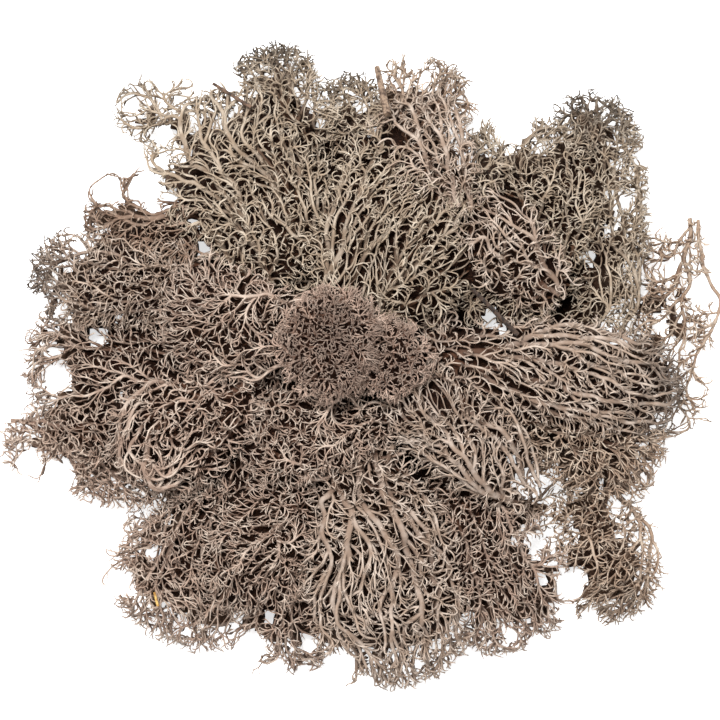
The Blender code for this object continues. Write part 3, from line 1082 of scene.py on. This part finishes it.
# %% Helpers for finishes
def to_linear(code):
    channels = [int(code[i:i + 2], 16) / 255.0 for i in (1, 3, 5)]
    return [c / 12.92 if c <= 0.04045 else ((c + 0.055) / 1.055) ** 2.4 for c in channels] + [1.0]


def add_node(tree, kind, settings=None, **inputs):
    """A node with its settings; each input is a plain value or the output socket that feeds it."""
    node = tree.nodes.new(kind)
    for key, value in (settings or {}).items():
        setattr(node, key, value)
    for key, value in inputs.items():
        socket = node.inputs[int(key[1:])] if key[0] == "_" else node.inputs[key.replace("_", " ")]
        if isinstance(value, bpy.types.NodeSocket):
            tree.links.new(value, socket)
        else:
            socket.default_value = value
    return node


def mixed(tree, share, first, second):
    """Colour output of a mix between two colours."""
    return add_node(tree, "ShaderNodeMix", {"data_type": "RGBA"}, _0=share, _6=first, _7=second).outputs[2]


def ranged(tree, value, low, high, at_low=0.0, at_high=1.0):
    """The value brought from one range into another."""
    node = add_node(tree, "ShaderNodeMapRange", Value=value, _1=low, _2=high, _3=at_low, _4=at_high)
    return node.outputs["Result"]


def point_value(tree, name):
    """A value that was written with the mesh."""
    return add_node(tree, "ShaderNodeAttribute", {"attribute_name": name}).outputs["Fac"]


def noise(tree, size, detail, distortion=0.0):
    """Soft random pattern whose blotches are about this many millimetres wide."""
    place = add_node(tree, "ShaderNodeTexCoord").outputs["Object"]
    return add_node(tree, "ShaderNodeTexNoise", Vector=place, Scale=1.0 / (size * MM), Detail=detail,
                    Distortion=distortion).outputs["Fac"]


def new_finish(name, roughness, specular):
    material = bpy.data.materials.new(name)
    material.use_nodes = True
    shader = material.node_tree.nodes["Principled BSDF"]
    shader.inputs["Roughness"].default_value = roughness
    shader.inputs["Specular IOR Level"].default_value = specular
    return material, material.node_tree, shader


def finish_with(tree, shader, colour, height, strength, depth):
    """Plugs in the colour and a bump of the given depth in mm."""
    tree.links.new(colour, shader.inputs["Base Color"])
    bump = add_node(tree, "ShaderNodeBump", Height=height, Strength=strength, Distance=depth * MM)
    tree.links.new(bump.outputs["Normal"], shader.inputs["Normal"])


print("mid grey #808080 is", round(to_linear("#808080")[0], 3), "in linear light")

# %% [markdown]
# Preserved reindeer lichen is matt and chalky, because its skin is a felt of threads without any bark.
# Each dye lot has three tones: the young outer branches, paler chalky patches a few millimetres wide, and
# the old stems deep inside, which turn brown. That brown grows with the cover over a branch, so it is partly
# the real colour of dead stems and partly painted shade. Stout stems are weathered too. On some tufts the
# very tips are burnt almost black where the fruiting bodies sit. Near the rim the painted shade is weaker,
# because more light gets in there.

# %% Lichen finish
SHADES = {
    # young branch, pale chalky patch, brown of old branches inside the tuft that is also painted shade
    "olive": ("#A4927E", "#C8BAA8", "#4C3323"),
    "lilac": ("#A89382", "#CCBCAE", "#4E3223"),
    "rose": ("#A99181", "#CDBCAD", "#4E3223"),
    "tan": ("#A9917D", "#CCBBA9", "#4E3223"),
    "brown": ("#8E7564", "#AE9988", "#3F281B"),
}
CUSHION_SHADE = ("#B09686", "#C6AF9F", "#765747")
DARK_TIP = "#1E1614"            # dried fruiting bodies, black brown
PATCH_SIZE = 3.85               # mm
GRAIN_SIZE = 0.385


def lichen_material(name, shades, dark_tips):
    """Dried lichen skin: chalky and without shine, like unglazed clay."""
    young, chalky, old_and_shaded = [to_linear(code) for code in shades]
    material, tree, shader = new_finish(name, roughness=0.88, specular=0.25)
    patch = ranged(tree, noise(tree, PATCH_SIZE, 3.0), 0.42, 0.66)
    pale = mixed(tree, patch, young, chalky)
    stout = ranged(tree, point_value(tree, "girth"), 0.3, 0.8, 0.0, 0.4)
    weathered = mixed(tree, stout, pale, old_and_shaded)
    # painted shade together with the real brown of dead stems: the deeper under cover, the darker; less so
    # near the rim
    depth = ranged(tree, point_value(tree, "sunk"), 0.2, 5.5)
    less_shade_at_rim = ranged(tree, point_value(tree, "rim"), 5.0, 20.0, 0.4, 1.0)
    age_and_shade = add_node(tree, "ShaderNodeMath", {"operation": "MULTIPLY"}, _0=depth, _1=less_shade_at_rim).outputs[0]
    aged_and_shaded = mixed(tree, age_and_shade, weathered, old_and_shaded)
    end = ranged(tree, point_value(tree, "to_tip"), 0.2, 5.0, dark_tips, 0.0)
    crown = point_value(tree, "crown")
    burnt = add_node(tree, "ShaderNodeMath", {"operation": "MULTIPLY"}, _0=end, _1=crown).outputs[0]
    colour = mixed(tree, burnt, aged_and_shaded, to_linear(DARK_TIP))
    finish_with(tree, shader, colour, noise(tree, GRAIN_SIZE, 2.0), strength=0.5, depth=0.1)
    return material


for name, piece in grown.items():
    tuft = TUFTS[name]
    shades = CUSHION_SHADE if tuft.bare < 0.0 else SHADES[tuft.shade]
    piece.data.materials.append(lichen_material("lichen " + name, shades, tuft.dark_tips))
    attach(piece, "root")
    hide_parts(name)
print(len(grown), "tufts finished in", len(SHADES) + 1, "shades")

# %% [markdown]
# The dead mass under the tufts is lichen, humus and needles matted by rain. Its colour carries painted
# shade: deep inside it is almost black with paler threads in it; near the rim, where light reaches it, it
# is painted a lighter dusty mid brown.

# %% Felt finish
# painted shade: the near-black felt deep inside; painted light: the lighter felt at the rim
SHADED_DEEP_FELT = ("#20110A", "#4A3022")      # mass and threads
LIT_RIM_FELT = ("#6B5343", "#8F7765")
THREAD_SIZE = 1.11                      # mm


def felt_material(name):
    """Matted dead lichen and humus, dry and without any shine, with painted shade that darkens it inwards.
    """
    material, tree, shader = new_finish(name, roughness=0.95, specular=0.1)
    threads = noise(tree, THREAD_SIZE, 4.0, distortion=2.0)
    thread = ranged(tree, threads, 0.5, 0.72)
    shaded_felt = mixed(tree, thread, *[to_linear(code) for code in SHADED_DEEP_FELT])
    edge = mixed(tree, thread, *[to_linear(code) for code in LIT_RIM_FELT])
    # painted shade: the felt darkens from the rim inwards
    shade_inward = ranged(tree, point_value(tree, "rim"), 6.0, 17.0)
    finish_with(tree, shader, mixed(tree, shade_inward, edge, shaded_felt), threads, strength=1.0, depth=1.2)
    return material


for name, piece in felts.items():
    piece.data.materials.append(felt_material("felt " + name))
    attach(piece, "root")
    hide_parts(name)
print(len(felts), "beds finished")

# %% [markdown]
# Bits of heather twig and one straw are caught in the heap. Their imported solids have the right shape
# already, so they only get a surface: flecked rough bark on the twigs, and a smooth golden skin with
# faint flecks on the straw.

# %% Sticks and straw
STICKS = {
    # node: light and dark of the bark
    "stick_back_left": ("#6B5240", "#2E2018"),
    "stub_back": ("#937C68", "#4A382C"),
    "twig_right": ("#4A382C", "#1E1510"),
    "straw_front_left": ("#D8B26A", "#A87A38"),
}
FLECK_SIZE = 1.11                       # mm


def stick_material(name, light, dark):
    """Dry bark or straw, half matt."""
    material, tree, shader = new_finish(name, roughness=0.7, specular=0.5)
    bark = noise(tree, FLECK_SIZE, 4.0)
    colour = mixed(tree, ranged(tree, bark, 0.42, 0.62), to_linear(light), to_linear(dark))
    finish_with(tree, shader, colour, bark, strength=0.8, depth=0.6)
    return material


for name, (light, dark) in STICKS.items():
    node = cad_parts[name]
    node.data.materials.clear()
    node.data.materials.append(stick_material(name + " surface", light, dark))
print(len(STICKS), "sticks finished")

# %% [markdown]
# The heap lies on a plain white table. It glows a little, so that it stays white where the heap shades
# it, as a table does in a light tent.

# %% Table
TABLE_SIZE = 6.0                # m
TABLE_WHITE = (0.92, 0.92, 0.92, 1.0)
TABLE_GLOW = 0.7


def stage_plane():
    bpy.ops.mesh.primitive_plane_add(size=TABLE_SIZE, location=(0.0, 0.0, 0.0))
    table = bpy.context.object
    table.name = "table"
    material, _, shader = new_finish("white table", roughness=0.9, specular=0.5)
    shader.inputs["Base Color"].default_value = TABLE_WHITE
    shader.inputs["Emission Color"].default_value = (1.0, 1.0, 1.0, 1.0)
    shader.inputs["Emission Strength"].default_value = TABLE_GLOW
    table.data.materials.append(material)
    table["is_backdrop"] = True


stage_plane()
print("table", TABLE_SIZE, "m wide")

# %% [markdown]
# Soft light comes from all round, with one larger soft light from the back left that gives the branches
# their shaded sides and lets each one cast a faint shadow on those below.

# %% Light
ROOM_LIGHT = 0.5
LAMP_PLACE = (-0.25, 0.45, 1.7)
LAMP_SIZE = 0.45                # m
LAMP_POWER = 45.0               # W

world = bpy.data.worlds.new("soft room")
bpy.context.scene.world = world
world.use_nodes = True
world.node_tree.nodes["Background"].inputs["Color"].default_value = (1.0, 1.0, 1.0, 1.0)
world.node_tree.nodes["Background"].inputs["Strength"].default_value = ROOM_LIGHT


def soft_light(name, place, size, power):
    data = bpy.data.lights.new(name, "AREA")
    data.size = size
    data.energy = power
    lamp = bpy.data.objects.new(name, data)
    bpy.context.scene.collection.objects.link(lamp)
    lamp.location = place
    aim = -np.array(place) / np.linalg.norm(place)
    lamp.rotation_euler = Vector(aim).to_track_quat("-Z", "Y").to_euler()
    lamp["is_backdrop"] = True


soft_light("overhead light", LAMP_PLACE, LAMP_SIZE, LAMP_POWER)
print("lamp of", LAMP_POWER, "W,", round(float(np.linalg.norm(LAMP_PLACE)), 2), "m from the heap")

# %% [markdown]
# The camera looks straight down from far above with a long lens, so the heap is seen without distortion.
# The lens follows from the width that should fill the picture a little above the table, where the outline
# of the heap lies.

# %% Camera
CAMERA_HEIGHT = 1.5             # m
VIEW_WIDTH = 0.2088             # m of the heap across the picture
FOCUS_HEIGHT = 0.01             # m, the height at which that width is measured
SENSOR = 36.0                   # mm
CAMERA_SIDEWAYS = (0.0009, 0.0020)      # m, so that the outline sits in the middle of the picture

camera_data = bpy.data.cameras.new("camera")
camera_data.sensor_width = SENSOR
camera_data.lens = SENSOR * (CAMERA_HEIGHT - FOCUS_HEIGHT) / VIEW_WIDTH
camera_data.clip_end = 20.0
camera = bpy.data.objects.new("camera", camera_data)
bpy.context.scene.collection.objects.link(camera)
camera.location = (*CAMERA_SIDEWAYS, CAMERA_HEIGHT)
bpy.context.scene.camera = camera
bpy.context.scene.view_settings.view_transform = "Standard"
print("lens", round(camera_data.lens, 1), "mm")

# %% Size and finish
NEW_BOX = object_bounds()
for axis, low, high, packed_low, packed_high in zip("xyz", *NEW_BOX, *CAD_BOX):
    print(f"{axis} from {low / MM:.1f} to {high / MM:.1f} mm,",
          f"packed part from {packed_low / MM:.1f} to {packed_high / MM:.1f} mm")
